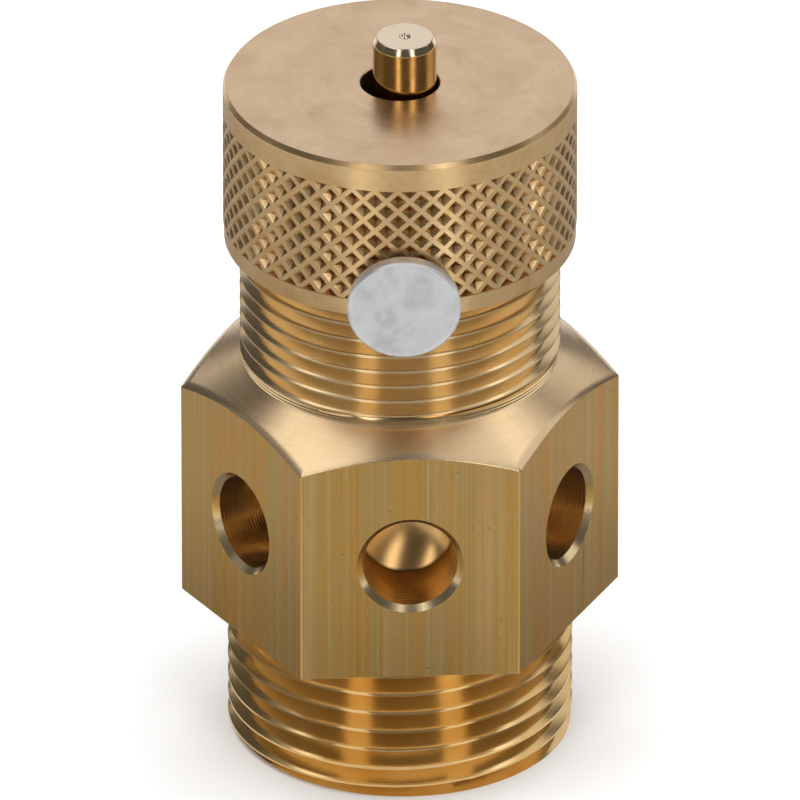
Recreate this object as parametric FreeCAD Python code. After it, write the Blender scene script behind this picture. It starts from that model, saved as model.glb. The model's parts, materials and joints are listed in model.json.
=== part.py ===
"""Pressure relief valve: a hexagonal brass body with a spring-loaded disc under a knurled cap.

Units are millimetres.  +Z is up the valve's axis and the origin is the centre of the inlet end,
which is the lowest face.  Two of the hexagon's flats face -Y and +Y.
Each function below makes one piece; main() writes one STEP file per piece to parts/.
"""
import FreeCAD, Part
import math
import os

Vector = FreeCAD.Vector
UP = Vector(0, 0, 1)

# ---------------------------------------------------------------- driving dimensions
# body, outside
inlet_thread_diameter = 24.56     # over the crests
inlet_thread_length = 10.67
thread_end_chamfer = 0.5
hex_across_flats = 27.0
hex_edge_length = 16.48           # straight height of the six corner edges
hex_cone_angle = 30.0             # slope of the turned top of the hexagon
upper_thread_diameter = 22.73     # over the crests
exposed_thread_length = 9.57      # between the hexagon's cone and the cap

# body, inside
inlet_bore_diameter = 14.0
inlet_bore_depth = 12.6
seat_bore_diameter = 9.2
seat_lip_width = 0.6
seat_lip_height = 1.2
seat_lip_flare = 0.5              # the lip is wider by this at its foot
chamber_diameter = 16.4

# discharge holes, one through each flat
discharge_hole_count = 6
discharge_hole_diameter = 6.72
discharge_hole_chamfer = 0.42
discharge_hole_height = 9.01      # hole axis above the hexagon's underside
drill_point_angle = 118.0

# knurled cap
cap_diameter = 25.03
cap_height = 12.16
cap_top_chamfer = 0.5
cap_ceiling_thickness = 3.3
cap_bottom_band_height = 1.45
cap_bottom_band_step = 0.07       # the lower plain band is turned this much below the knurl
cap_adjustment_gap = 1.7          # room left between the body's rim and the cap's ceiling

# tamper-seal plug
plug_head_diameter = 8.0
plug_head_thickness = 1.2
plug_head_edge_chamfer = 0.3
plug_shank_diameter = 2.6
plug_shank_reach = 1.9            # how far the shank goes into the body's wall
plug_height = 1.44                # shank axis above the cap's lower edge, at the skirt
plug_turn = -1.9                  # degrees from -Y, towards -X
plug_tilt = 5.0                   # degrees that the head looks down

# stem
stem_diameter = 4.5
stem_protrusion = 3.63            # above the cap
stem_end_chamfer = 0.27
stem_end_chamfer_height = 0.5
stem_centre_mark_radius = 0.45
stem_collar_step = 0.75           # the stem is this much larger in radius below its lift stop
stem_spigot_diameter = 4.0
stem_spigot_length = 2.7
stem_hole_clearance = 0.535       # radial, in the cap and the upper plate
stem_offset = 0.33                # the disc group stands this far towards +X in its clearances

# disc holder, soft seal and their fixings
guide_clearance = 0.7             # radial, between the holder or plate and the chamber
seal_thickness = 2.0
seal_pocket_wall = 1.1            # rim of the holder round the seal
seal_proud = 0.4                  # the seal stands this far out of its pocket
holder_thickness = 3.0            # rim edge to the face that carries the spring plate
hub_height = 3.0
pin_diameter = 1.5
screw_diameter = 2.5
screw_head_diameter = 4.4
screw_head_height = 1.2
screw_slot_width = 0.6
screw_slot_depth = 0.6
screw_length = 3.6
washer_diameter = 6.8
washer_thickness = 0.8

# spring and plates
spring_wire_diameter = 1.4
spring_side_clearance = 1.7       # radial, between the spring and the chamber
spring_turns = 7.5
spring_closed_turns = 1.0         # at each end
spring_close_wound_gap = 0.04     # between touching end turns
spring_pitch_ramp = 0.5           # turns over which the pitch grows from closed to active
spring_end_rise = 0.14            # wire centre above the ground face, at the wire's tip
spring_wire_sides = 8
spring_sections_per_turn = 16
lower_plate_thickness = 1.2
lower_plate_rim_height = 1.5
upper_plate_thickness = 1.5
upper_plate_collar_height = 1.5
upper_plate_clearance = 0.4       # radial, in the chamber
lift_travel = 2.3                 # a quarter of the seat bore, which is full lift

running_gap = 0.3                 # between turned faces of pieces that move past each other
spring_seat_overlap = 0.1         # the spring's inside edge stands on this much of the plate
spring_centring_gap = 0.2         # radial, between the spring and the upper plate's collar

# ---------------------------------------------------------------- derived sizes
inlet_thread_radius = inlet_thread_diameter / 2
upper_thread_radius = upper_thread_diameter / 2
hex_corner_radius = hex_across_flats / math.sqrt(3)
hex_bottom = inlet_thread_length
hex_corner_top = hex_bottom + hex_edge_length
cone_slope = math.tan(math.radians(hex_cone_angle))
cone_top = hex_corner_top + (hex_corner_radius - upper_thread_radius) * cone_slope

cap_radius = cap_diameter / 2
cap_bottom = cone_top + exposed_thread_length
cap_top = cap_bottom + cap_height
cap_ceiling = cap_top - cap_ceiling_thickness
body_top = cap_ceiling - cap_adjustment_gap

chamber_radius = chamber_diameter / 2
inlet_bore_radius = inlet_bore_diameter / 2
seat_bore_radius = seat_bore_diameter / 2
seat_lip_radius = seat_bore_radius + seat_lip_width
discharge_axis_height = hex_bottom + discharge_hole_height
chamber_floor = discharge_axis_height
seat_face = chamber_floor + seat_lip_height

stem_radius = stem_diameter / 2
stem_hole_radius = stem_radius + stem_hole_clearance
stem_collar_radius = stem_radius + stem_collar_step
stem_top = cap_top + stem_protrusion

spring_outer_radius = chamber_radius - spring_side_clearance
spring_inner_radius = spring_outer_radius - spring_wire_diameter
spring_mean_radius = (spring_inner_radius + spring_outer_radius) / 2

holder_bottom = seat_face + seal_proud
holder_shoulder = holder_bottom + holder_thickness
hub_top = holder_shoulder + hub_height
seal_top = seat_face + seal_thickness
follower_radius = chamber_radius - guide_clearance
seal_radius = follower_radius - seal_pocket_wall
lower_plate_bore_radius = spring_inner_radius - spring_seat_overlap
hub_radius = lower_plate_bore_radius - stem_offset - running_gap
spring_bottom = holder_shoulder + lower_plate_thickness
spring_top = cap_ceiling - upper_plate_thickness
collar_bottom = spring_top - upper_plate_collar_height
lift_stop = collar_bottom - lift_travel
pin_height = (holder_shoulder + hub_top) / 2

plug_shank_radius = plug_shank_diameter / 2


# ---------------------------------------------------------------- helpers
def turned(profile):
    """Solid of revolution about Z from (radius, height) corners given in order."""
    points = [Vector(radius, 0, height) for radius, height in profile]
    wire = Part.makePolygon(points + points[:1])
    return Part.Face(wire).revolve(Vector(), UP, 360)


def cylinder(radius, bottom, top):
    return Part.makeCylinder(radius, top - bottom, Vector(0, 0, bottom))


def in_disc_group(shape):
    """Moves a piece from the valve's axis to where the disc group stands in its clearances."""
    return shape.translated(Vector(stem_offset, 0, 0))


def on_plug_axis(shape):
    """Turns a piece made along +Z, with Z = 0 at the cap's skirt, onto the plug's tilted axis."""
    placed = shape.copy()
    placed.rotate(Vector(), Vector(1, 0, 0), 90 + plug_tilt)
    placed.translate(Vector(0, -cap_radius, cap_bottom + plug_height))
    placed.rotate(Vector(), UP, plug_turn)
    return placed


def plug_hole():
    """The hole that the plug's shank fills, through the cap's skirt and into the body's wall."""
    skirt = cap_radius - upper_thread_radius
    return on_plug_axis(cylinder(plug_shank_radius, -skirt - plug_shank_reach, plug_head_thickness))


# ---------------------------------------------------------------- body
def hexagon():
    """Hexagonal prism whose top is turned to a cone that meets the upper thread."""
    corners = [Vector(hex_corner_radius * math.cos(math.radians(60 * i)),
                      hex_corner_radius * math.sin(math.radians(60 * i)), hex_bottom)
               for i in range(7)]
    prism = Part.Face(Part.makePolygon(corners)).extrude(UP * (cone_top - hex_bottom))
    cone_base = hex_corner_radius + 1
    envelope = turned([(0, hex_bottom), (cone_base, hex_bottom),
                       (cone_base, hex_corner_top - cone_slope),
                       (upper_thread_radius, cone_top), (0, cone_top)])
    return prism.common(envelope)


def discharge_drill():
    """One chamfered, conically pointed drilling along -Y, whose full width ends at the chamber's wall."""
    radius = discharge_hole_diameter / 2
    flat = hex_across_flats / 2
    point_length = radius / math.tan(math.radians(drill_point_angle / 2))
    mouth = radius + discharge_hole_chamfer
    drill = turned([(0, chamber_radius - point_length), (radius, chamber_radius),
                    (radius, flat - discharge_hole_chamfer), (mouth, flat),
                    (mouth, flat + 1), (0, flat + 1)])
    drill.rotate(Vector(), Vector(1, 0, 0), 90)
    return drill.translated(Vector(0, 0, discharge_axis_height))


def valve_body():
    outside = turned([(0, 0), (inlet_thread_radius - thread_end_chamfer, 0),
                      (inlet_thread_radius, thread_end_chamfer), (inlet_thread_radius, hex_bottom),
                      (upper_thread_radius, hex_bottom),
                      (upper_thread_radius, body_top - thread_end_chamfer),
                      (upper_thread_radius - thread_end_chamfer, body_top), (0, body_top)])
    inlet_cone = (inlet_bore_radius - seat_bore_radius) / math.tan(math.radians(drill_point_angle / 2))
    inside = turned([(0, -1), (inlet_bore_radius, -1), (inlet_bore_radius, inlet_bore_depth),
                     (seat_bore_radius, inlet_bore_depth + inlet_cone), (seat_bore_radius, seat_face),
                     (seat_lip_radius, seat_face), (seat_lip_radius + seat_lip_flare, chamber_floor),
                     (chamber_radius, chamber_floor), (chamber_radius, body_top + 1), (0, body_top + 1)])
    body = outside.fuse(hexagon()).cut(inside)
    for i in range(discharge_hole_count):
        drill = discharge_drill()
        drill.rotate(Vector(), UP, 360 * i / discharge_hole_count)
        body = body.cut(drill)
    return body.cut(plug_hole()).removeSplitter()


# ---------------------------------------------------------------- cap and its seal
def knurled_cap():
    """The cap, with the knurl as a plain band at its crest size."""
    band_radius = cap_radius - cap_bottom_band_step
    band_top = cap_bottom + cap_bottom_band_height
    cap = turned([(stem_hole_radius, cap_ceiling), (upper_thread_radius, cap_ceiling),
                  (upper_thread_radius, cap_bottom), (band_radius, cap_bottom),
                  (band_radius, band_top - cap_bottom_band_step), (cap_radius, band_top),
                  (cap_radius, cap_top - cap_top_chamfer), (cap_radius - cap_top_chamfer, cap_top),
                  (stem_hole_radius, cap_top)])
    return cap.cut(plug_hole())


def seal_plug():
    """Flat head with broken edges on a plain shank; the head's back touches the cap's lower edge."""
    head_radius = plug_head_diameter / 2
    skirt = cap_radius - upper_thread_radius
    back = plug_height * math.tan(math.radians(plug_tilt))
    front = back + plug_head_thickness
    face_radius = head_radius - plug_head_edge_chamfer
    plug = turned([(0, -skirt - plug_shank_reach), (plug_shank_radius, -skirt - plug_shank_reach),
                   (plug_shank_radius, back), (face_radius, back),
                   (head_radius, back + plug_head_edge_chamfer),
                   (head_radius, front - plug_head_edge_chamfer), (face_radius, front), (0, front)])
    return on_plug_axis(plug)


# ---------------------------------------------------------------- disc group
def disc_holder():
    """Piston with a pocket for the soft seal below and a hub for the stem above."""
    screw_radius = screw_diameter / 2
    spigot_radius = stem_spigot_diameter / 2
    spigot_bottom = hub_top - stem_spigot_length
    holder = turned([(screw_radius, seal_top), (seal_radius, seal_top), (seal_radius, holder_bottom),
                     (follower_radius, holder_bottom), (follower_radius, holder_shoulder),
                     (hub_radius, holder_shoulder), (hub_radius, hub_top), (spigot_radius, hub_top),
                     (spigot_radius, spigot_bottom), (screw_radius, spigot_bottom)])
    return in_disc_group(holder.cut(pin_bar(hub_radius + 1)))


def pin_bar(half_length):
    """Round bar along X through the hub, of the cross pin's diameter."""
    start = Vector(-half_length, 0, pin_height)
    return Part.makeCylinder(pin_diameter / 2, 2 * half_length, start, Vector(1, 0, 0))


def stem_pin():
    bar = pin_bar(hub_radius)
    return in_disc_group(bar.common(cylinder(hub_radius, holder_shoulder, hub_top)))


def stem():
    """Spigot in the hub, thick shaft inside the spring up to the lift stop, thin shaft out of the cap."""
    spigot_radius = stem_spigot_diameter / 2
    tip_radius = stem_radius - stem_end_chamfer
    shaft = turned([(0, hub_top - stem_spigot_length), (spigot_radius, hub_top - stem_spigot_length),
                    (spigot_radius, hub_top), (stem_collar_radius, hub_top),
                    (stem_collar_radius, lift_stop), (stem_radius, lift_stop),
                    (stem_radius, stem_top - stem_end_chamfer_height), (tip_radius, stem_top),
                    (stem_centre_mark_radius, stem_top), (0, stem_top - stem_centre_mark_radius)])
    return in_disc_group(shaft.cut(pin_bar(hub_radius)))


def seal_disc():
    ring = cylinder(seal_radius, seat_face, seal_top)
    return in_disc_group(ring.cut(cylinder(screw_diameter / 2, seat_face, seal_top)))


def seal_washer():
    ring = cylinder(washer_diameter / 2, seat_face - washer_thickness, seat_face)
    return in_disc_group(ring.cut(cylinder(screw_diameter / 2, seat_face - washer_thickness, seat_face)))


def seal_screw():
    head_top = seat_face - washer_thickness
    head_bottom = head_top - screw_head_height
    shank = cylinder(screw_diameter / 2, head_top, head_top + screw_length)
    head = cylinder(screw_head_diameter / 2, head_bottom, head_top)
    slot = Part.makeBox(screw_head_diameter, screw_slot_width, screw_slot_depth,
                        Vector(-screw_head_diameter / 2, -screw_slot_width / 2, head_bottom))
    return in_disc_group(shank.fuse(head).cut(slot).removeSplitter())


# ---------------------------------------------------------------- spring and plates
def lower_spring_plate():
    """Dished ring round the holder's hub, with a rim that centres the spring."""
    rim_inner = spring_outer_radius + running_gap
    rim_top = spring_bottom + lower_plate_rim_height
    return turned([(lower_plate_bore_radius, holder_shoulder), (follower_radius, holder_shoulder),
                   (follower_radius, rim_top), (rim_inner, rim_top), (rim_inner, spring_bottom),
                   (lower_plate_bore_radius, spring_bottom)])


def upper_spring_plate():
    """Ring under the cap's ceiling, with a collar inside the spring that stops the stem's lift."""
    collar_radius = spring_inner_radius - spring_centring_gap
    outer_radius = chamber_radius - upper_plate_clearance
    return turned([(stem_hole_radius, collar_bottom), (collar_radius, collar_bottom),
                   (collar_radius, spring_top), (outer_radius, spring_top), (outer_radius, cap_ceiling),
                   (stem_hole_radius, cap_ceiling)])


def spring_height(turn, active_pitch):
    """Height of the wire's centre after a number of turns from the lower tip.

    The end turns are close wound; the pitch then grows smoothly to the active pitch.
    """
    closed_pitch = spring_wire_diameter + spring_close_wound_gap
    ramp = spring_pitch_ramp
    from_end = min(turn, spring_turns - turn)
    inner = from_end - spring_closed_turns
    if inner <= 0:
        rise = closed_pitch * from_end
    elif inner < ramp:
        rise = closed_pitch * from_end + (active_pitch - closed_pitch) * inner ** 2 / (2 * ramp)
    else:
        rise = closed_pitch * (spring_closed_turns + ramp / 2) + active_pitch * (inner - ramp / 2)
    if turn <= spring_turns / 2:
        return spring_bottom + spring_end_rise + rise
    return spring_top - spring_end_rise - rise


def wire_section(turn, active_pitch):
    """The wire's outline in the plane through the valve's axis, after a number of turns."""
    angle = 2 * math.pi * turn
    outward = Vector(math.cos(angle), math.sin(angle), 0)
    centre = outward * spring_mean_radius + UP * spring_height(turn, active_pitch)
    corners = []
    for i in range(spring_wire_sides + 1):
        around = 2 * math.pi * (i + 0.5) / spring_wire_sides
        spoke = outward * math.cos(around) + UP * math.sin(around)
        corners.append(centre + spoke * (spring_wire_diameter / 2))
    return Part.makePolygon(corners)


def spring():
    """Helical compression spring with closed ends ground flat.

    The wire is a ruled loft through flat-sided sections, which keeps its faces few.
    """
    closed_pitch = spring_wire_diameter + spring_close_wound_gap
    centre_length = spring_top - spring_bottom - 2 * spring_end_rise
    closed_length = 2 * closed_pitch * (spring_closed_turns + spring_pitch_ramp / 2)
    active_turns = spring_turns - 2 * spring_closed_turns - spring_pitch_ramp
    active_pitch = (centre_length - closed_length) / active_turns
    steps = int(spring_turns * spring_sections_per_turn)
    sections = [wire_section(i / spring_sections_per_turn, active_pitch) for i in range(steps + 1)]
    wire = Part.makeLoft(sections, True, True)
    return wire.common(cylinder(spring_outer_radius + 1, spring_bottom, spring_top))


# ---------------------------------------------------------------- all pieces
PIECES = [valve_body, knurled_cap, seal_plug, disc_holder, seal_disc, seal_washer, seal_screw, stem,
          stem_pin, lower_spring_plate, spring, upper_spring_plate]


def main():
    os.makedirs("parts", exist_ok=True)
    for piece in PIECES:
        shape = piece()
        if len(shape.Solids) != 1 or not shape.isValid():
            raise ValueError(piece.__name__ + " is not one valid solid")
        shape.Solids[0].exportStep(os.path.join("parts", piece.__name__ + ".step"))
        box = shape.BoundBox
        print(f"{piece.__name__:20s} volume {shape.Volume:9.2f}  z {box.ZMin:7.3f} to {box.ZMax:7.3f}")


main()
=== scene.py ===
"""Looks of the pressure relief valve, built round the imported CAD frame.  Lengths are in metres."""
import bpy
import bmesh
import math
import random
from mathutils import Matrix, Vector
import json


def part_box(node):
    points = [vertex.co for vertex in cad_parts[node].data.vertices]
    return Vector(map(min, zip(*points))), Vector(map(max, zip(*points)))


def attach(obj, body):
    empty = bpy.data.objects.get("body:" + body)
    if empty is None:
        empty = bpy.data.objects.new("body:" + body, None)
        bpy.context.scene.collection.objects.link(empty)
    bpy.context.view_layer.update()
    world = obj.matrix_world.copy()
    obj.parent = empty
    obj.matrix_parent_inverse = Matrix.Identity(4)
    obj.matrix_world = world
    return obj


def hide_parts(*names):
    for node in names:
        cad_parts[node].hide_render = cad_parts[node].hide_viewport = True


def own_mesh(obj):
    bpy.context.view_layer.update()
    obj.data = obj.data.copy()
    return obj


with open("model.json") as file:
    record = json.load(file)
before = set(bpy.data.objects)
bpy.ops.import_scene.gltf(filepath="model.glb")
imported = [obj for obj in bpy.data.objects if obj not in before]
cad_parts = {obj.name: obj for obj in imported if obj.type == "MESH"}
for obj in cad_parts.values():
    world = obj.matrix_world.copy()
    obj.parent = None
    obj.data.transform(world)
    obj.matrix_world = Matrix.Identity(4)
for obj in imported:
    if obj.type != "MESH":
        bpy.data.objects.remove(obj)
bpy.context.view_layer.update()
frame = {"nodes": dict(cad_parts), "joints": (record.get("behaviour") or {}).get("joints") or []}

MM = 0.001
UP = Vector((0, 0, 1))
CREASE = math.radians(32)


# ---------------------------------------------------------------- sizes from the frame
def node_box(name):
    low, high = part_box(name)
    return Vector(low), Vector(high)


def joint_range(name):
    return next(joint for joint in frame["joints"] if joint["name"] == name)["range_m"]


body_high = node_box("valve_body")[1]
cap_low, cap_high = node_box("knurled_cap")
stem_low, stem_high = node_box("stem")
spring_low, spring_high = node_box("spring")
holder_top = node_box("disc_holder")[1].z
seat_face = node_box("seal_disc")[0].z
upper_plate_bottom = node_box("upper_spring_plate")[0].z
lift = max(joint_range("valve_lift"))

cap_radius = cap_high.x
stem_x = (stem_low.x + stem_high.x) / 2
hex_corner_radius = body_high.x
hex_half_flats = body_high.y
lift_stop = upper_plate_bottom - lift - 0.03 * MM      # stops just short of the plate at full lift

# sizes that the frame's boxes don't give
inlet_thread_radius = 12.28 * MM
inlet_thread_top = 10.67 * MM
inlet_thread_pitch = 1.5 * MM
upper_thread_radius = 11.365 * MM
upper_thread_pitch = 1.2 * MM
hex_corner_top = 27.15 * MM
cone_slope = math.tan(math.radians(30))
cone_top = hex_corner_top + (hex_corner_radius - upper_thread_radius) * cone_slope
chamber_radius = 8.2 * MM
chamber_floor = 19.68 * MM
seat_radius = 4.6 * MM
inlet_radius = 7.0 * MM
inlet_depth = 12.6 * MM
stem_hole_radius = 2.785 * MM
stem_radius = 2.25 * MM
cap_ceiling = 48.02 * MM
discharge_radius = 3.36 * MM
discharge_chamfer = 0.42 * MM
drill_half_angle = math.radians(59)

# height of a crest where it faces the camera, FRONT_TURN of a turn from +X, carried back to angle 0
FRONT_TURN = 267 / 360
inlet_crest_height = 1.03 * MM - inlet_thread_pitch * FRONT_TURN
upper_crest_height = 30.6 * MM - upper_thread_pitch * FRONT_TURN

# the knurl: staggered rows of diamond pits between crossing raised lines
KNURL_CELLS = 48           # pits round the cap in each row
KNURL_HALF_ROWS = 11       # the band's height in half rows; a pit is two of them tall
KNURL_OPEN = 0.71          # share of each diamond that is pit; the rest is the raised line
KNURL_DEPTH = 0.45 * MM
KNURL_ROW = 0.8 * MM       # height of a half row
knurl_top = cap_high.z - 2.02 * MM
knurl_bottom = knurl_top - KNURL_HALF_ROWS * KNURL_ROW


# ---------------------------------------------------------------- mesh helpers
def ring(radius, z, angles):
    return [Vector((radius * math.cos(a), radius * math.sin(a), z)) for a in angles]


def even_angles(count, start=0.0):
    return [start + 2 * math.pi * k / count for k in range(count)]


def rounded(profile, radius, steps=2):
    """A profile of (radius, height) points with each corner between its ends turned into a small arc.

    A further point either side of each arc keeps the shading of the straight runs flat.
    """
    beyond = 0.4               # how far past the arc that point is, as a share of the arc's reach
    result = [profile[0]]
    for before, here, after in zip(profile, profile[1:], profile[2:]):
        here_v = Vector(here)
        to_before = Vector(before) - here_v
        to_after = Vector(after) - here_v
        reach = min(radius, to_before.length / 3, to_after.length / 3)
        start = here_v + to_before.normalized() * reach
        end = here_v + to_after.normalized() * reach
        result.append(tuple(start + (start - here_v) * beyond))
        for i in range(steps + 1):
            t = i / steps
            point = start.lerp(here_v, t).lerp(here_v.lerp(end, t), t)
            result.append((point.x, point.y))
        result.append(tuple(end + (end - here_v) * beyond))
    result.append(profile[-1])
    return result


def finish_mesh(mesh, name, material, crease=CREASE):
    """Welds, shades and names a bmesh, and returns its object."""
    bmesh.ops.remove_doubles(mesh, verts=mesh.verts, dist=1e-7)
    bmesh.ops.dissolve_degenerate(mesh, edges=mesh.edges, dist=1e-7)
    bmesh.ops.recalc_face_normals(mesh, faces=mesh.faces)
    data = bpy.data.meshes.new(name)
    mesh.to_mesh(data)
    mesh.free()
    piece = bpy.data.objects.new(name, data)
    bpy.context.scene.collection.objects.link(piece)
    data.materials.append(material)
    crease_edges(data, crease)
    return piece


def crease_edges(data, crease=CREASE):
    """Smooth shading that breaks at edges sharper than the crease angle."""
    mesh = bmesh.new()
    mesh.from_mesh(data)
    for face in mesh.faces:
        face.smooth = True
    for edge in mesh.edges:
        edge.smooth = len(edge.link_faces) == 2 and edge.calc_face_angle(0) < crease
    mesh.to_mesh(data)
    mesh.free()


def add_rings(mesh, rings, closed=False):
    """Quads between successive rings of equal length; a ring of one point becomes a fan."""
    made = [[mesh.verts.new(point) for point in points] for points in rings]
    pairs = list(zip(made, made[1:]))
    if closed:
        pairs.append((made[-1], made[0]))
    for low, high in pairs:
        count = max(len(low), len(high))
        for k in range(count):
            corners = [low[k % len(low)], low[(k + 1) % len(low)],
                       high[(k + 1) % len(high)], high[k % len(high)]]
            unique = list(dict.fromkeys(corners))
            if len(unique) > 2:
                mesh.faces.new(unique)
    return made


def profile_rings(profile, angles):
    """One ring for each (radius, height) point; a point on the axis becomes a ring of one."""
    return [ring(radius, z, angles) if radius > 0 else [Vector((0, 0, z))] for radius, z in profile]


def lathe(name, profile, material, edge):
    """Closed turned solid from a profile that starts and ends on the axis."""
    mesh = bmesh.new()
    add_rings(mesh, profile_rings(rounded(profile, edge, 3), even_angles(96)))
    return finish_mesh(mesh, name, material)


# one pitch of thread, as (turns from the crest, share of the thread's depth)
THREAD_PROFILE = ((-0.46, 1.0), (-0.065, 0.03), (-0.05, 0.0), (0.05, 0.0), (0.065, 0.03), (0.46, 1.0))
THREAD_DEPTH = 0.72        # of the pitch
THREAD_START = 0.5         # share of its full depth that a fading thread starts with


def thread_share(turn):
    """Share of the thread's depth at a distance from a crest, in turns."""
    off = (turn + 0.5) % 1.0 - 0.5
    for (start, low), (end, high) in zip(THREAD_PROFILE, THREAD_PROFILE[1:]):
        if start <= off <= end:
            return low + (high - low) * (off - start) / (end - start)
    return 1.0


def thread_rings(crest, pitch, bottom, top, phase, angles, fade, end_chamfer=0.0):
    """Rings along a right-hand thread, clamped between two heights.

    phase is the height of a crest at angle 0.  Each ring follows a corner of the profile round the
    helix, so crests stay crisp.  end_chamfer takes that much off the radius at the bottom.  The lowest
    turn starts shallow and grows to its full depth within the height fade.
    """
    rows = []
    first = math.floor((bottom - phase) / pitch) - 2
    last = math.ceil((top - phase) / pitch) + 1
    for index in range(first, last + 1):
        for offset, share in THREAD_PROFILE:
            points = []
            for angle in angles:
                turn = index + offset + angle / (2 * math.pi)
                z = min(max(phase + pitch * turn, bottom), top)
                depth = THREAD_DEPTH * pitch * thread_share((z - phase) / pitch - angle / (2 * math.pi))
                depth *= min(1.0, THREAD_START + (z - bottom) / fade)
                radius = min(crest - depth, crest - end_chamfer + (z - bottom))
                points.append(Vector((radius * math.cos(angle), radius * math.sin(angle), z)))
            rows.append(points)
    return rows


# ---------------------------------------------------------------- materials
class Shader:
    """A node material: call node() to add a node and connect its inputs in one line."""

    def __init__(self, name):
        self.material = bpy.data.materials.new(name)
        self.material.use_nodes = True
        self.tree = self.material.node_tree
        self.surface = self.tree.nodes["Principled BSDF"]

    def node(self, kind, output=0, settings=None, **inputs):
        made = self.tree.nodes.new("ShaderNode" + kind)
        for key, value in (settings or {}).items():
            setattr(made, key, value)
        for key, value in inputs.items():
            self.connect(value, made, key)
        return made.outputs[output]

    def connect(self, value, node, key):
        name = key.replace("_", " ")
        socket = node.inputs[int(key[1:])] if key[0] == "i" and key[1:].isdigit() else node.inputs[name]
        if isinstance(value, bpy.types.NodeSocket):
            self.tree.links.new(value, socket)
        else:
            socket.default_value = value

    def math(self, operation, first, second=0.0, third=0.0):
        return self.node("Math", settings={"operation": operation}, i0=first, i1=second, i2=third)

    def position(self, scale=(1, 1, 1)):
        """Object coordinates in millimetres, times a scale."""
        coordinates = self.node("TexCoord", output=3)
        return self.node("Mapping", Vector=coordinates, Scale=[1000 * s for s in scale])

    def noise(self, vector, scale=1.0, detail=2.0, roughness=0.5, distortion=0.0):
        return self.node("TexNoise", Vector=vector, Scale=scale, Detail=detail, Roughness=roughness,
                         Distortion=distortion)

    def ramp(self, value, stops):
        made = self.tree.nodes.new("ShaderNodeValToRGB")
        ramp = made.color_ramp
        while len(ramp.elements) < len(stops):
            ramp.elements.new(0.5)
        for element, (place, colour) in zip(ramp.elements, stops):
            element.position = place
            element.color = (*colour, 1.0)
        self.tree.links.new(value, made.inputs[0])
        return made.outputs[0]

    def blend(self, share, first, second):
        made = self.tree.nodes.new("ShaderNodeMix")
        made.data_type = "RGBA"
        for value, socket in ((share, made.inputs[0]), (first, made.inputs[6]), (second, made.inputs[7])):
            if isinstance(value, bpy.types.NodeSocket):
                self.tree.links.new(value, socket)
            else:
                socket.default_value = value if isinstance(value, float) else (*value, 1.0)
        return made.outputs[2]

    def range(self, value, low, high, to_low, to_high):
        return self.node("MapRange", Value=value, From_Min=low, From_Max=high, To_Min=to_low,
                         To_Max=to_high)

    def above(self, value, place, soft=0.1):
        """1 where the value is above a place, 0 below it, with a soft step between."""
        return self.range(value, place - soft, place + soft, 0.0, 1.0)

    def below(self, value, place, soft=0.1):
        return self.range(value, place - soft, place + soft, 1.0, 0.0)

    def upward(self):
        """How far the surface faces up, from the Z of its normal."""
        return self.node("SeparateXYZ", output=2, Vector=self.node("NewGeometry", output=3))

    def bump(self, height, depth, normal=None):
        made = self.tree.nodes.new("ShaderNodeBump")
        made.inputs["Distance"].default_value = depth
        self.tree.links.new(height, made.inputs["Height"])
        if normal is not None:
            self.tree.links.new(normal, made.inputs["Normal"])
        return made.outputs[0]

    def finish(self, **inputs):
        for key, value in inputs.items():
            if isinstance(value, tuple) and len(value) == 3:
                value = (*value, 1.0)
            self.connect(value, self.surface, key)
        return self.material


def axis_distance(shader):
    """Distance from the valve's axis and height above the inlet end, in millimetres."""
    place = shader.node("SeparateXYZ", Vector=shader.position()).node
    squared = shader.math("ADD", shader.math("POWER", place.outputs[0], 2.0),
                          shader.math("POWER", place.outputs[1], 2.0))
    return shader.math("SQRT", squared), place.outputs[2]


def across_flats(shader):
    """Distance in millimetres from the axis towards the nearest flat, so also along its drilling."""
    place = shader.node("SeparateXYZ", Vector=shader.position()).node
    across, along = place.outputs[0], place.outputs[1]
    furthest = shader.math("ABSOLUTE", along)
    for side in (-1, 1):
        leaning = shader.math("MULTIPLY_ADD", across, side * math.cos(math.radians(30)),
                              shader.math("MULTIPLY", along, math.sin(math.radians(30))))
        furthest = shader.math("MAXIMUM", furthest, shader.math("ABSOLUTE", leaning))
    return furthest


def turned_brass(name, colour, roughness, end_colour=None):
    """Brass off the lathe: fine rings that follow the tool, soft stains and small specks.

    end_colour is the colour of faces that look up or down.
    """
    speck_colour = (0.62, 0.38, 0.13)
    shader = Shader(name)
    radius, height = axis_distance(shader)
    lay = shader.node("CombineXYZ", X=radius, Y=height, Z=0.0)
    fine = shader.noise(lay, 14.0, 3.0, 0.7)
    cloud = shader.noise(shader.position(), 0.35, 4.0, 0.6, 0.4)
    speck = shader.noise(shader.position(), 3.2, 2.0, 0.5)
    tint = shader.ramp(cloud, [(0.35, tuple(c * s for c, s in zip(colour, (0.86, 0.80, 0.70)))),
                               (0.52, colour), (0.70, tuple(c * 1.06 for c in colour))])
    if end_colour:
        tint = shader.blend(shader.range(shader.upward(), 0.3, 0.6, 0.0, 1.0), tint, end_colour)
    tint = shader.blend(shader.range(speck, 0.66, 0.74, 0.0, 0.35), tint, speck_colour)
    rough = shader.math("ADD", shader.range(fine, 0.3, 0.7, roughness - 0.05, roughness + 0.07),
                        shader.range(cloud, 0.3, 0.7, 0.04, -0.04))
    return shader.finish(Base_Color=tint, Metallic=1.0, Roughness=rough,
                         Normal=shader.bump(fine, 0.0006 * MM))


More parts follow.
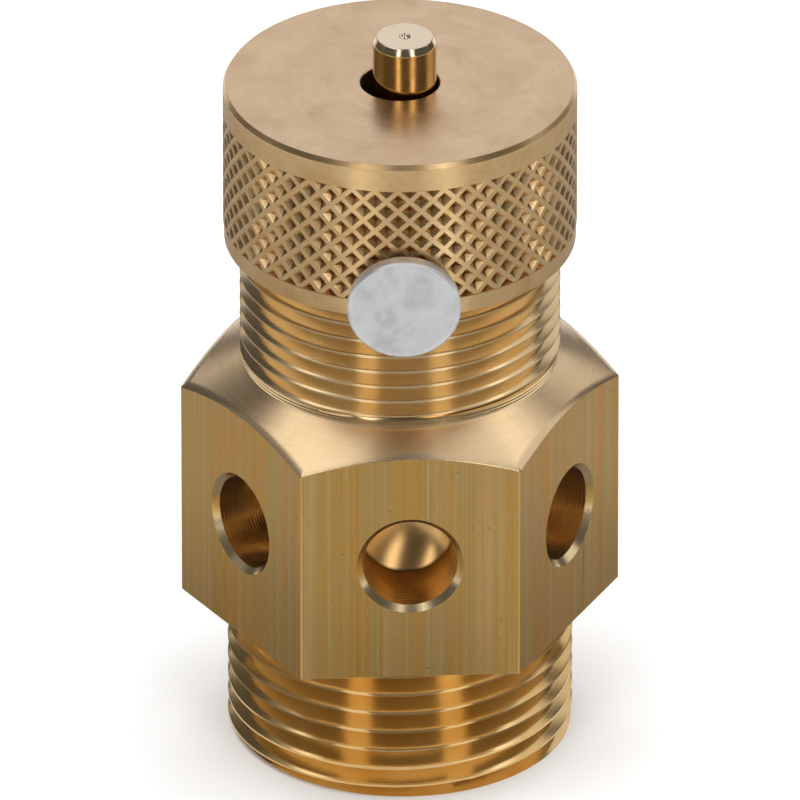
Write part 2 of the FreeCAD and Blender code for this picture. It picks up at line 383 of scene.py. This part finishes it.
def body_material():
    """Drawn hexagon with lengthwise streaks of tarnish; bright threads, satin cone, drilled bores.

    The part of the body that a point belongs to is told from where it is, in millimetres.
    """
    underside, cone_end, hole_top = 10.6, 29.7, 26.2
    flat_radius, hole_mouth = 13.3, 13.0       # just inside the flats
    drill_shoulder = chamber_radius / MM
    shader = Shader("body_brass_material")
    radius, height = axis_distance(shader)
    lay = shader.node("CombineXYZ", X=radius, Y=height, Z=0.0)
    fine = shader.noise(lay, 10.0, 3.0, 0.7)
    zone = shader.noise(shader.position((0.42, 0.42, 0.012)), 1.0, 2.0, 0.5)
    streak = shader.noise(shader.position((2.6, 2.6, 0.02)), 1.0, 4.0, 0.6)
    hair = shader.noise(shader.position((9.0, 9.0, 0.03)), 1.0, 3.0, 0.6)
    cloud = shader.noise(shader.position(), 0.22, 4.0, 0.6, 0.5)
    speck = shader.noise(shader.position((1.0, 1.0, 1.6)), 2.4, 2.0, 0.5)
    tilt = shader.math("ABSOLUTE", shader.upward())
    along_drill = across_flats(shader)

    # shares of the surface, from 0 to 1: hexagon, its flats, and the drillings with their chamfers
    hexagon = shader.math("MULTIPLY", shader.above(height, underside), shader.below(height, cone_end))
    flat_share = shader.math("MULTIPLY", shader.range(radius, flat_radius, 13.45, 0.0, 1.0),
                             shader.below(tilt, 0.2))
    bore_share = shader.math("MULTIPLY", hexagon, shader.below(height, hole_top, 0.2))
    wall_share = shader.math("MULTIPLY", bore_share, shader.above(along_drill, drill_shoulder + 0.1))
    wall_share = shader.math("MULTIPLY", wall_share, shader.below(along_drill, hole_mouth))

    # the flats' tarnish, from broad zones down to specks
    drawn = shader.ramp(zone, [(0.34, (0.75, 0.40, 0.095)), (0.44, (0.70, 0.43, 0.125)),
                               (0.53, (0.65, 0.45, 0.155)), (0.66, (0.76, 0.46, 0.19))])
    drawn = shader.blend(shader.range(streak, 0.50, 0.66, 0.0, 0.75), drawn, (0.78, 0.39, 0.09))
    drawn = shader.blend(shader.range(streak, 0.46, 0.34, 0.0, 0.55), drawn, (0.80, 0.57, 0.24))
    drawn = shader.blend(shader.range(hair, 0.53, 0.72, 0.0, 0.5), drawn, (0.42, 0.24, 0.06))
    drawn = shader.blend(shader.range(cloud, 0.50, 0.72, 0.0, 0.5), drawn, (0.64, 0.41, 0.21))
    drawn = shader.blend(shader.range(speck, 0.72, 0.76, 0.0, 0.6), drawn, (0.20, 0.13, 0.06))

    # threads and cone
    inlet_tint = shader.ramp(cloud, [(0.35, (0.72, 0.47, 0.18)), (0.65, (0.78, 0.54, 0.25))])
    upper_tint = shader.ramp(cloud, [(0.35, (0.71, 0.51, 0.26)), (0.65, (0.77, 0.58, 0.34))])
    cone_tint = shader.ramp(cloud, [(0.35, (0.73, 0.52, 0.29)), (0.65, (0.78, 0.58, 0.35))])
    thread_tint = shader.blend(shader.above(height, 20.5, 0.5), inlet_tint, upper_tint)
    turned = shader.blend(hexagon, thread_tint, cone_tint)

    # drillings: drill point, wall and chamfer, with a thin line of painted shade where the point meets the
    # wall
    drill_tint = shader.blend(shader.above(along_drill, drill_shoulder, 0.02), (0.61, 0.37, 0.145),
                              (0.98, 0.76, 0.45))
    drill_tint = shader.blend(shader.range(along_drill, 13.05, 13.12, 0.0, 1.0), drill_tint,
                              (0.82, 0.63, 0.36))
    # painted shade: a dark line along the seam between the drill point and the wall
    off_shoulder = shader.math("ABSOLUTE", shader.math("SUBTRACT", along_drill, drill_shoulder))
    drill_tint = shader.blend(shader.range(off_shoulder, 0.03, 0.09, 0.8, 0.0), drill_tint,
                              (0.22, 0.11, 0.04))
    turned = shader.blend(bore_share, turned, drill_tint)
    tint = shader.blend(flat_share, turned, drawn)

    turned_rough = shader.blend(hexagon, shader.ramp(fine, [(0.3, (0.12,) * 3), (0.7, (0.19,) * 3)]),
                                shader.ramp(fine, [(0.3, (0.20,) * 3), (0.7, (0.29,) * 3)]))
    turned_rough = shader.blend(bore_share, turned_rough, (0.23, 0.23, 0.23))
    rough = shader.blend(flat_share, turned_rough,
                         shader.ramp(streak, [(0.3, (0.34,) * 3), (0.7, (0.25,) * 3)]))

    # uneven rings that the drill left on the walls, then turning marks and the flats' draw marks
    wander = shader.noise(shader.node("CombineXYZ", X=along_drill, Y=0.0, Z=0.0), 1.5, 1.0, 0.5)
    feed = shader.math("MULTIPLY_ADD", along_drill, 26.0, shader.math("MULTIPLY", wander, 9.0))
    drill_marks = shader.math("MULTIPLY", shader.math("SINE", feed), wall_share)
    relief = shader.blend(flat_share, shader.ramp(fine, [(0.2, (0.0,) * 3), (0.8, (1.0,) * 3)]),
                          shader.ramp(hair, [(0.2, (0.0,) * 3), (0.8, (1.0,) * 3)]))
    drilled = shader.bump(drill_marks, 0.0035 * MM)
    return shader.finish(Base_Color=tint, Metallic=1.0, Roughness=rough,
                         Normal=shader.bump(relief, 0.0014 * MM, normal=drilled))


def knurl_material():
    """Satin brass, redder on faces that look up; the knurled pits are darkened with painted shade."""
    shader = Shader("cap_brass_material")
    radius, height = axis_distance(shader)
    lay = shader.node("CombineXYZ", X=radius, Y=height, Z=0.0)
    fine = shader.noise(lay, 14.0, 3.0, 0.7)
    cloud = shader.noise(shader.position(), 0.30, 5.0, 0.65, 0.5)
    speck = shader.noise(shader.position(), 2.6, 3.0, 0.6)
    coarse = shader.noise(lay, 3.5, 3.0, 0.6)

    # the share of a point that is down in a pit, which gets painted shade: below the crests, not in the
    # bore, within the band
    edge = cap_radius / MM
    depth = shader.range(radius, edge - 0.36, edge - 0.02, 1.0, 0.0)
    outside = shader.range(radius, edge - 0.55, edge - 0.5, 0.0, 1.0)
    band = shader.math("MULTIPLY", shader.above(height, knurl_bottom / MM + 0.05, 0.05),
                       shader.below(height, knurl_top / MM - 0.05, 0.05))
    pit = shader.math("MULTIPLY", shader.math("MULTIPLY", depth, outside), band)

    face_tint = shader.ramp(cloud, [(0.30, (0.72, 0.50, 0.31)), (0.45, (0.79, 0.57, 0.37)),
                                    (0.70, (0.82, 0.61, 0.41))])
    face_tint = shader.blend(shader.range(coarse, 0.3, 0.7, 0.0, 0.22), face_tint, (0.70, 0.47, 0.27))
    side_tint = shader.ramp(cloud, [(0.34, (0.63, 0.40, 0.18)), (0.5, (0.72, 0.49, 0.24)),
                                    (0.68, (0.78, 0.56, 0.30))])
    tint = shader.blend(shader.range(shader.upward(), 0.6, 0.9, 0.0, 1.0), side_tint, face_tint)
    tint = shader.blend(shader.range(speck, 0.70, 0.78, 0.0, 0.45), tint, (0.42, 0.25, 0.10))
    # painted shade: the pits turn dark brown with their depth
    tint = shader.blend(shader.math("MULTIPLY", pit, 0.88), tint, (0.24, 0.12, 0.045))
    rough = shader.math("ADD", shader.range(fine, 0.3, 0.7, 0.26, 0.36),
                        shader.range(cloud, 0.3, 0.7, 0.05, -0.05))
    relief = shader.bump(coarse, 0.0016 * MM, normal=shader.bump(fine, 0.0009 * MM))
    return shader.finish(Base_Color=tint, Metallic=1.0, Roughness=rough, Normal=relief)


def aluminium_material():
    """Struck aluminium: matte, blotched and slightly pitted."""
    shader = Shader("seal_aluminium_material")
    cloud = shader.noise(shader.position(), 0.55, 6.0, 0.6, 0.2)
    pits = shader.noise(shader.position(), 5.0, 3.0, 0.6)
    tint = shader.ramp(cloud, [(0.30, (0.72, 0.73, 0.75)), (0.5, (0.87, 0.87, 0.89)),
                               (0.7, (0.92, 0.92, 0.94))])
    tint = shader.blend(shader.range(pits, 0.62, 0.74, 0.0, 0.35), tint, (0.40, 0.41, 0.43))
    rough = shader.range(cloud, 0.3, 0.7, 0.42, 0.55)
    return shader.finish(Base_Color=tint, Metallic=1.0, Roughness=rough,
                         Normal=shader.bump(pits, 0.004 * MM))


def steel_material(name, colour, roughness):
    """Drawn stainless wire with fine draw marks."""
    shader = Shader(name)
    marks = shader.noise(shader.position(), 6.0, 4.0, 0.7)
    tint = shader.ramp(marks, [(0.3, tuple(c * 0.8 for c in colour)), (0.7, colour)])
    rough = shader.range(marks, 0.3, 0.7, roughness - 0.05, roughness + 0.08)
    return shader.finish(Base_Color=tint, Metallic=1.0, Roughness=rough,
                         Normal=shader.bump(marks, 0.001 * MM))


def rubber_material():
    shader = Shader("seal_rubber_material")
    grain = shader.noise(shader.position(), 8.0, 3.0, 0.6)
    tint = shader.ramp(grain, [(0.3, (0.012, 0.012, 0.012)), (0.7, (0.035, 0.034, 0.033))])
    return shader.finish(Base_Color=tint, Roughness=shader.range(grain, 0.3, 0.7, 0.5, 0.7),
                         Normal=shader.bump(grain, 0.01 * MM))


def floor_material():
    shader = Shader("floor_paper")
    grain = shader.noise(shader.position((0.05, 0.05, 0.05)), 1.0, 3.0, 0.6)
    tint = shader.ramp(grain, [(0.3, (0.86, 0.86, 0.86)), (0.7, (0.89, 0.89, 0.89))])
    return shader.finish(Base_Color=tint, Roughness=0.9)


# ---------------------------------------------------------------- body
def hex_angles():
    """Even columns, with pairs close beside each corner, so that the flats stay flat up to it."""
    angles = even_angles(192)
    for corner in even_angles(6):
        for beside in (math.radians(0.3), math.radians(0.45)):
            angles += [corner + beside, (corner - beside) % (2 * math.pi)]
    return sorted(angles)


def hex_radius(angle):
    """Radius of the hexagon's outline, whose corners are blunted a little."""
    sector = math.pi / 3
    off_flat = angle % sector - sector / 2
    return min(hex_half_flats / math.cos(off_flat), hex_corner_radius - 0.03 * MM)


def hex_ring(angles, inset, height):
    """Ring on the hexagon's side, moved in by inset; height is a number or a function of radius."""
    points = []
    for angle in angles:
        radius = hex_radius(angle) - inset
        z = height(radius) if callable(height) else height
        points.append(Vector((radius * math.cos(angle), radius * math.sin(angle), z)))
    return points


def discharge_drills():
    """The six drillings as one cutter, each with its drill point at the chamber and a chamfer outside."""
    mesh = bmesh.new()
    tip = chamber_radius - discharge_radius / math.tan(drill_half_angle)
    flat = hex_half_flats
    mouth = discharge_radius + discharge_chamfer
    past = 0.3 * MM            # how far the cutter's chamfer goes on past the flat
    profile = [(0, tip), (discharge_radius, chamber_radius), (discharge_radius, flat - discharge_chamfer),
               (mouth, flat), (mouth + past, flat + past), (0, flat + past)]
    angles = even_angles(72, math.radians(2.5))
    for i in range(6):
        turn = Matrix.Rotation(math.radians(60 * i), 4, "Z") @ Matrix.Rotation(math.pi / 2, 4, "X")
        place = Matrix.Translation((0, 0, chamber_floor)) @ turn
        rings = profile_rings(profile, angles)
        add_rings(mesh, [[place @ point for point in points] for points in rings])
    return finish_mesh(mesh, "discharge_drills", body_brass)


def make_body():
    """One closed skin: bores, inlet thread, hexagon, cone and upper thread, then the drillings."""
    angles = hex_angles()
    edge = 0.06 * MM
    thread_end = cap_low.z + 1.0 * MM                  # hidden inside the cap, like the core above it
    core_radius = upper_thread_radius - 0.6 * MM

    def cone_height(radius):
        return hex_corner_top + (hex_corner_radius - radius) * cone_slope

    inlet_cone = (inlet_radius - seat_radius) / math.tan(drill_half_angle)
    lip = seat_radius + 0.6 * MM
    rings = [ring(r, z, angles) for r, z in rounded([
        (core_radius, body_high.z - 3 * MM), (core_radius, body_high.z), (chamber_radius, body_high.z),
        (chamber_radius, chamber_floor), (lip + 0.5 * MM, chamber_floor), (lip, seat_face),
        (seat_radius, seat_face), (seat_radius, inlet_depth + inlet_cone), (inlet_radius, inlet_depth),
        (inlet_radius, 0), (inlet_thread_radius - 1.2 * MM, 0)], edge)]
    rings += thread_rings(inlet_thread_radius, inlet_thread_pitch, 0.0, inlet_thread_top,
                          inlet_crest_height, angles, fade=0.7 * MM, end_chamfer=0.10 * MM)
    rings.append(hex_ring(angles, edge, inlet_thread_top))
    rings.append(hex_ring(angles, 0, inlet_thread_top + edge))
    rings.append(hex_ring(angles, 0, lambda radius: cone_height(radius) - 0.05 * MM))
    rings.append(hex_ring(angles, edge, cone_height))
    for share in (0.2, 0.45, 0.7):                     # of the way from the hexagon's edge to the thread
        inner = []
        for angle in angles:
            outer = hex_radius(angle)
            radius = outer + (upper_thread_radius - outer) * share
            inner.append(Vector((radius * math.cos(angle), radius * math.sin(angle), cone_height(radius))))
        rings.append(inner)
    # a short neck with tool marks, then the upper thread
    mark_step, mark_depth, mark_count = 0.12 * MM, 0.035 * MM, 6
    rings.append(ring(upper_thread_radius + mark_step, cone_top - mark_step * cone_slope, angles))
    rings.append(ring(upper_thread_radius, cone_top, angles))
    neck_radius = upper_thread_radius - 0.10 * MM
    for mark in range(mark_count):
        radius = neck_radius - mark_depth * (mark % 2)
        rings.append(ring(radius, cone_top + mark_step * (mark + 0.5), angles))
    rings += thread_rings(upper_thread_radius, upper_thread_pitch, cone_top + mark_count * mark_step,
                          thread_end, upper_crest_height, angles, fade=0.6 * MM)
    rings.append(ring(core_radius, thread_end + 0.1 * MM, angles))
    mesh = bmesh.new()
    add_rings(mesh, rings, closed=True)
    body = finish_mesh(mesh, "hex_body", body_brass)
    drills = discharge_drills()
    cut = body.modifiers.new("drillings", "BOOLEAN")
    cut.object = drills
    cut.operation = "DIFFERENCE"
    cut.solver = "EXACT"
    apply_modifiers(body)
    bpy.data.objects.remove(drills)
    crease_edges(body.data)
    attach(body, "valve")
    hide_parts("valve_body")


def apply_modifiers(piece):
    depsgraph = bpy.context.evaluated_depsgraph_get()
    result = bpy.data.meshes.new_from_object(piece.evaluated_get(depsgraph))
    piece.modifiers.clear()
    piece.data = result


# ---------------------------------------------------------------- cap
def knurl_columns(shift):
    """Angles of the columns that the band's edge needs in each cell: line, pit side, middle, side."""
    units = []
    for i in range(KNURL_CELLS):
        units += [i - 0.5, i - KNURL_OPEN / 2, i, i + KNURL_OPEN / 2]
    return [2 * math.pi * (unit + shift) / KNURL_CELLS for unit in units]


def make_cap():
    """Turned cap whose band is cut with rows of diamond pits between crossing raised lines."""
    upper_columns = knurl_columns(0)
    lower_columns = knurl_columns(0.5)
    chamfer, chamfer_height = 0.23 * MM, 0.36 * MM
    hole_chamfer = 0.08 * MM
    bore_radius = upper_thread_radius + 0.05 * MM
    lower_band_radius = cap_radius - 0.07 * MM
    edge = 0.02 * MM
    mesh = bmesh.new()
    upper_part = rounded([
        (cap_radius, knurl_top), (cap_radius, cap_high.z - chamfer_height),
        (cap_radius - chamfer, cap_high.z), (stem_hole_radius + hole_chamfer, cap_high.z),
        (stem_hole_radius, cap_high.z - hole_chamfer), (stem_hole_radius, cap_ceiling),
        (bore_radius, cap_ceiling)], edge)
    lower_part = rounded([
        (bore_radius, cap_ceiling - 1 * MM), (bore_radius, cap_low.z), (lower_band_radius, cap_low.z),
        (lower_band_radius, knurl_bottom - 0.12 * MM), (cap_radius, knurl_bottom)], edge)
    rings = profile_rings(upper_part, upper_columns) + profile_rings(lower_part, lower_columns)
    made = add_rings(mesh, rings)
    add_knurl(mesh, made[0], made[-1])
    cap = finish_mesh(mesh, "cap_with_knurl", cap_brass, math.radians(28))
    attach(cap, "valve")
    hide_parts("knurled_cap")


def add_knurl(mesh, top_ring, bottom_ring):
    """Diamond pits in staggered rows; the first and the last row are cut off at half height."""
    chance = random.Random(11)
    step = 2 * math.pi / KNURL_CELLS
    reach = KNURL_OPEN         # a pit's corners are this far from its middle, in half rows or half cells

    def point(unit, row, radius=cap_radius):
        """A place on the band: unit counts cells round the cap and row counts half rows down."""
        z = knurl_top - row * KNURL_ROW
        return Vector((radius * math.cos(unit * step), radius * math.sin(unit * step), z))

    crossings = {}

    def crossing(half_units, row):
        """The corner where two raised lines cross; corners on the band's edges are the rings' own."""
        key = (half_units % (2 * KNURL_CELLS), row)
        if key not in crossings:
            if row == 0:
                crossings[key] = top_ring[4 * ((half_units + 1) // 2 % KNURL_CELLS)]
            elif row == KNURL_HALF_ROWS:
                crossings[key] = bottom_ring[4 * (half_units // 2 % KNURL_CELLS)]
            else:
                crossings[key] = mesh.verts.new(point(half_units / 2, row))
        return crossings[key]

    for row in range(KNURL_HALF_ROWS + 1):
        for i in range(KNURL_CELLS):
            unit = i + 0.5 * (row % 2)
            half = 2 * i + row % 2
            depth = KNURL_DEPTH * chance.uniform(0.9, 1.08)
            apex = mesh.verts.new(point(unit, row, cap_radius - depth))
            left, right = crossing(half - 1, row), crossing(half + 1, row)
            edge_ring = top_ring if row == 0 else bottom_ring
            if row in (0, KNURL_HALF_ROWS):
                side_left, middle, side_right = edge_ring[4 * i + 1:4 * i + 4]
                mesh.faces.new((side_left, middle, apex))
                mesh.faces.new((middle, side_right, apex))
            else:
                side_left = mesh.verts.new(point(unit - reach / 2, row))
                side_right = mesh.verts.new(point(unit + reach / 2, row))
            if row > 0:
                top, side_top = crossing(half, row - 1), mesh.verts.new(point(unit, row - reach))
                mesh.faces.new((left, side_left, side_top, top))
                mesh.faces.new((top, side_top, side_right, right))
                mesh.faces.new((side_left, apex, side_top))
                mesh.faces.new((side_top, apex, side_right))
            if row < KNURL_HALF_ROWS:
                bottom, side_bottom = crossing(half, row + 1), mesh.verts.new(point(unit, row + reach))
                mesh.faces.new((right, side_right, side_bottom, bottom))
                mesh.faces.new((bottom, side_bottom, side_left, left))
                mesh.faces.new((side_right, apex, side_bottom))
                mesh.faces.new((side_bottom, apex, side_left))


def make_seal():
    """Aluminium plug, struck flat: round-edged head with a faint ring, on a short shank.

    It leans by tilt degrees, stands turn degrees round from -Y, and is that high on the cap.
    """
    tilt, turn, height = 5.0, -1.9, 1.44 * MM
    head, thickness = 4.0 * MM, 1.2 * MM
    shank, shank_end = 1.3 * MM, -3.0 * MM
    back = height * math.tan(math.radians(tilt))
    front = back + thickness
    seal = lathe("tamper_seal", [
        (0, shank_end), (shank, shank_end), (shank, back), (head - 0.25 * MM, back),
        (head, back + 0.25 * MM), (head, front - 0.16 * MM), (head - 0.14 * MM, front),
        (head * 0.93, front - 0.015 * MM), (head * 0.90, front - 0.03 * MM), (head * 0.5, front - 0.02 * MM),
        (0, front - 0.05 * MM)], seal_aluminium, edge=0.09 * MM)
    place = (Matrix.Rotation(math.radians(turn), 4, "Z")
             @ Matrix.Translation((0, -cap_radius, cap_low.z + height))
             @ Matrix.Rotation(math.radians(90 + tilt), 4, "X"))
    seal.data.transform(place)
    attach(seal, "valve")
    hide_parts("seal_plug")


# ---------------------------------------------------------------- disc group
def make_stem():
    """Spigot in the holder, thick shaft up to the lift stop, thin shaft with a centre mark in its end."""
    bottom, top = stem_low.z, stem_high.z
    spigot = 2.0 * MM
    collar = stem_radius + 0.75 * MM
    stem = lathe("valve_stem", [
        (0, bottom), (spigot, bottom), (spigot, holder_top), (collar, holder_top), (collar, lift_stop),
        (stem_radius, lift_stop), (stem_radius, top - 0.5 * MM), (stem_radius - 0.27 * MM, top),
        (0.42 * MM, top), (0.25 * MM, top - 0.2 * MM), (0, top - 0.3 * MM)], stem_brass, edge=0.06 * MM)
    stem.data.transform(Matrix.Translation((stem_x, 0, 0)))
    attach(stem, "disc_group")
    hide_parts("stem")


def make_spring():
    """Round-wire spring with close-wound ends ground flat."""
    wire_radius = 0.7 * MM
    turns = 7.5
    closed, ramp = 1.0, 0.5            # turns at each end that are closed, and that then open out
    gap, tip = 0.04 * MM, 0.14 * MM    # between closed turns, and from an end face to the wire's centre
    wire_sides, steps_per_turn = 16, 40
    bottom, top = spring_low.z, spring_high.z
    mean = spring_high.x - wire_radius
    closed_pitch = 2 * wire_radius + gap
    active = (top - bottom - 2 * tip - 2 * closed_pitch * (closed + ramp / 2)) / (turns - 2 * closed - ramp)

    def height(turn):
        """Height of the wire's centre after a number of turns from the lower tip."""
        near = min(turn, turns - turn)
        inner = near - closed
        if inner <= 0:
            rise = closed_pitch * near
        elif inner < ramp:
            rise = closed_pitch * near + (active - closed_pitch) * inner ** 2 / (2 * ramp)
        else:
            rise = closed_pitch * (closed + ramp / 2) + active * (inner - ramp / 2)
        return bottom + tip + rise if turn <= turns / 2 else top - tip - rise

    mesh = bmesh.new()
    rings = []
    steps = int(turns * steps_per_turn)
    for i in range(steps + 1):
        turn = turns * i / steps
        angle = 2 * math.pi * turn
        outward = Vector((math.cos(angle), math.sin(angle), 0))
        centre = outward * mean + UP * height(turn)
        points = []
        for spoke in even_angles(wire_sides):
            point = centre + (outward * math.cos(spoke) + UP * math.sin(spoke)) * wire_radius
            point.z = min(max(point.z, bottom), top)
            points.append(point)
        rings.append(points)
    first_tip = [sum(rings[0], Vector()) / wire_sides]
    last_tip = [sum(rings[-1], Vector()) / wire_sides]
    add_rings(mesh, [first_tip] + rings + [last_tip])
    spring = finish_mesh(mesh, "coil_spring", spring_steel)
    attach(spring, "valve")
    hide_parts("spring")
    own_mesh(spring)


# ---------------------------------------------------------------- studio
def aim(thing, target):
    thing.rotation_euler = (Vector(target) - thing.location).to_track_quat("-Z", "Y").to_euler()


def around(azimuth, elevation, distance):
    """A place seen from the origin; azimuth 0 is towards -Y, and +X is at 90 degrees."""
    a, e = math.radians(azimuth), math.radians(elevation)
    return Vector((math.sin(a) * math.cos(e), -math.cos(a) * math.cos(e), math.sin(e))) * distance


def softbox(name, place, target, size, brightness, in_gloss=True):
    """Rectangular light; brightness is its radiance, which a mirror of it would show."""
    data = bpy.data.lights.new(name, "AREA")
    data.shape = "RECTANGLE"
    data.size, data.size_y = size
    data.energy = 4 * size[0] * size[1] * brightness
    light = bpy.data.objects.new(name, data)
    light.location = place
    bpy.context.scene.collection.objects.link(light)
    aim(light, target)
    light.visible_camera = False
    light.visible_glossy = in_gloss


# painted shade of the card's rings, darker near the object like shaded floor, as shares of the way from
# CARD_NEAR to CARD_FAR, in millimetres
CARD_NEAR, CARD_FAR = 20.0, 200.0
CARD_PAINTED_SHADE_TONES = [(0.00, (0.175, 0.168, 0.162)), (0.09, (0.210, 0.203, 0.197)), (0.17, (0.340, 0.330, 0.320)),
               (0.29, (0.265, 0.260, 0.255)), (0.38, (0.260, 0.255, 0.250)), (0.47, (0.205, 0.200, 0.195)),
               (0.60, (0.72, 0.72, 0.715)), (0.85, (0.74, 0.74, 0.735))]
CARD_PAINTED_LIGHT_STRIP = (0.82, 0.82, 0.80)
STRIP_BEARING = 26.0       # degrees either side of -Y, for the card's pale strips of painted light and the strip lights
CAMERA_AZIMUTH, CAMERA_ELEVATION = -3.12, 29.22
CAMERA_DISTANCE = 1.8643
CAMERA_LENS, SENSOR_WIDTH = 1182, 36       # millimetres
CAMERA_TARGET = Vector((0, 0, 0.0256))


def make_card():
    """Card round the object, in rings of grey painted as the floor's shade, with two pale strips of painted
    light; only reflections see it.
    """
    mesh = bmesh.new()
    angles = even_angles(96)
    card_radii = (17 * MM, 60 * MM, 150 * MM, 700 * MM)
    above_floor = 0.05 * MM
    add_rings(mesh, [ring(radius, above_floor, angles) for radius in card_radii])
    shader = Shader("painted_shade_card_material")
    distance = axis_distance(shader)[0]
    grain = shader.noise(shader.position((0.05, 0.05, 0.05)))
    reach = shader.math("ADD", distance, shader.range(grain, 0.3, 0.7, -3.0, 3.0))
    # painted shade: grey rings, darker close to the object
    tint = shader.ramp(shader.range(reach, CARD_NEAR, CARD_FAR, 0.0, 1.0), CARD_PAINTED_SHADE_TONES)
    place = shader.node("SeparateXYZ", Vector=shader.position()).node
    bearing = shader.math("ARCTAN2", shader.math("ABSOLUTE", place.outputs[0]),
                          shader.math("MULTIPLY", place.outputs[1], -1.0))
    off_strip = shader.math("ABSOLUTE", shader.math("SUBTRACT", bearing, math.radians(STRIP_BEARING)))
    strip = shader.range(off_strip, math.radians(6.0), math.radians(8.0), 1.0, 0.0)
    # painted light: two pale strips either side of the front
    tint = shader.blend(strip, tint, CARD_PAINTED_LIGHT_STRIP)
    card = finish_mesh(mesh, "studio_card", shader.finish(Base_Color=tint, Roughness=0.9))
    card.visible_camera = False
    card.visible_shadow = False
    card.visible_diffuse = False


def make_studio():
    """Pale floor, and on each side a softbox overhead, one to the side and a strip beside the camera.

    There is a gap between the two overhead.  Behind stands a pale wall of light, and one more light
    above brightens the floor without showing in gloss.
    """
    scene = bpy.context.scene
    world = bpy.data.worlds.new("studio_air")
    scene.world = world
    world.use_nodes = True
    world.node_tree.nodes["Background"].inputs[0].default_value = (1, 1, 1, 1)
    world.node_tree.nodes["Background"].inputs[1].default_value = 0.10
    mesh = bmesh.new()
    half = 1.5
    corners = [mesh.verts.new((x * half, y * half, 0)) for x, y in ((-1, -1), (1, -1), (1, 1), (-1, 1))]
    mesh.faces.new(corners)
    floor = finish_mesh(mesh, "studio_floor", floor_material())
    make_card()
    middle = Vector((0, 0, 0.03))
    for side, overhead, side_level, strip in ((-1, 1.02, 0.12, 1.7), (1, 0.63, 0.6, 1.9)):
        hand = "left" if side < 0 else "right"
        softbox(hand + "_overhead", (side * 0.40, 0.05, 1.0), (side * 0.40, 0.05, 0), (0.50, 1.1), overhead)
        softbox(hand + "_side", (side * 1.0, 0.25, 0.85), middle, (0.8, 1.1), side_level)
        softbox(hand + "_strip", around(side * STRIP_BEARING, 32, 1.1), middle, (0.22, 0.9), strip)
    softbox("back_wall", (0.15, 1.25, 0.75), middle, (1.9, 0.85), 0.57)
    softbox("floor_fill", (0, 0, 1.6), (0, 0, 0), (2.2, 2.2), 1.95, in_gloss=False)
    camera = bpy.data.objects.new("camera", bpy.data.cameras.new("camera"))
    scene.collection.objects.link(camera)
    camera.data.lens = CAMERA_LENS
    camera.data.sensor_width = SENSOR_WIDTH
    camera.data.clip_start = 0.1
    camera.location = CAMERA_TARGET + around(CAMERA_AZIMUTH, CAMERA_ELEVATION, CAMERA_DISTANCE)
    aim(camera, CAMERA_TARGET)
    scene.camera = camera
    scene.view_settings.view_transform = "Standard"


# ---------------------------------------------------------------- assembly
body_brass = body_material()
cap_brass = knurl_material()
stem_brass = turned_brass("stem_brass_material", (0.62, 0.40, 0.16), 0.11, end_colour=(0.86, 0.72, 0.55))
inner_brass = turned_brass("inner_brass_material", (0.68, 0.45, 0.19), 0.2)
seal_aluminium = aluminium_material()
spring_steel = steel_material("spring_steel_material", (0.62, 0.62, 0.61), 0.22)
pin_steel = steel_material("pin_steel_material", (0.55, 0.55, 0.56), 0.3)
seal_rubber = rubber_material()

make_body()
make_cap()
make_seal()
make_stem()
make_spring()
for node, material in (("disc_holder", inner_brass), ("seal_washer", inner_brass),
                       ("seal_screw", inner_brass), ("lower_spring_plate", inner_brass),
                       ("upper_spring_plate", inner_brass), ("stem_pin", pin_steel),
                       ("seal_disc", seal_rubber)):
    frame["nodes"][node].data.materials.clear()
    frame["nodes"][node].data.materials.append(material)
make_studio()
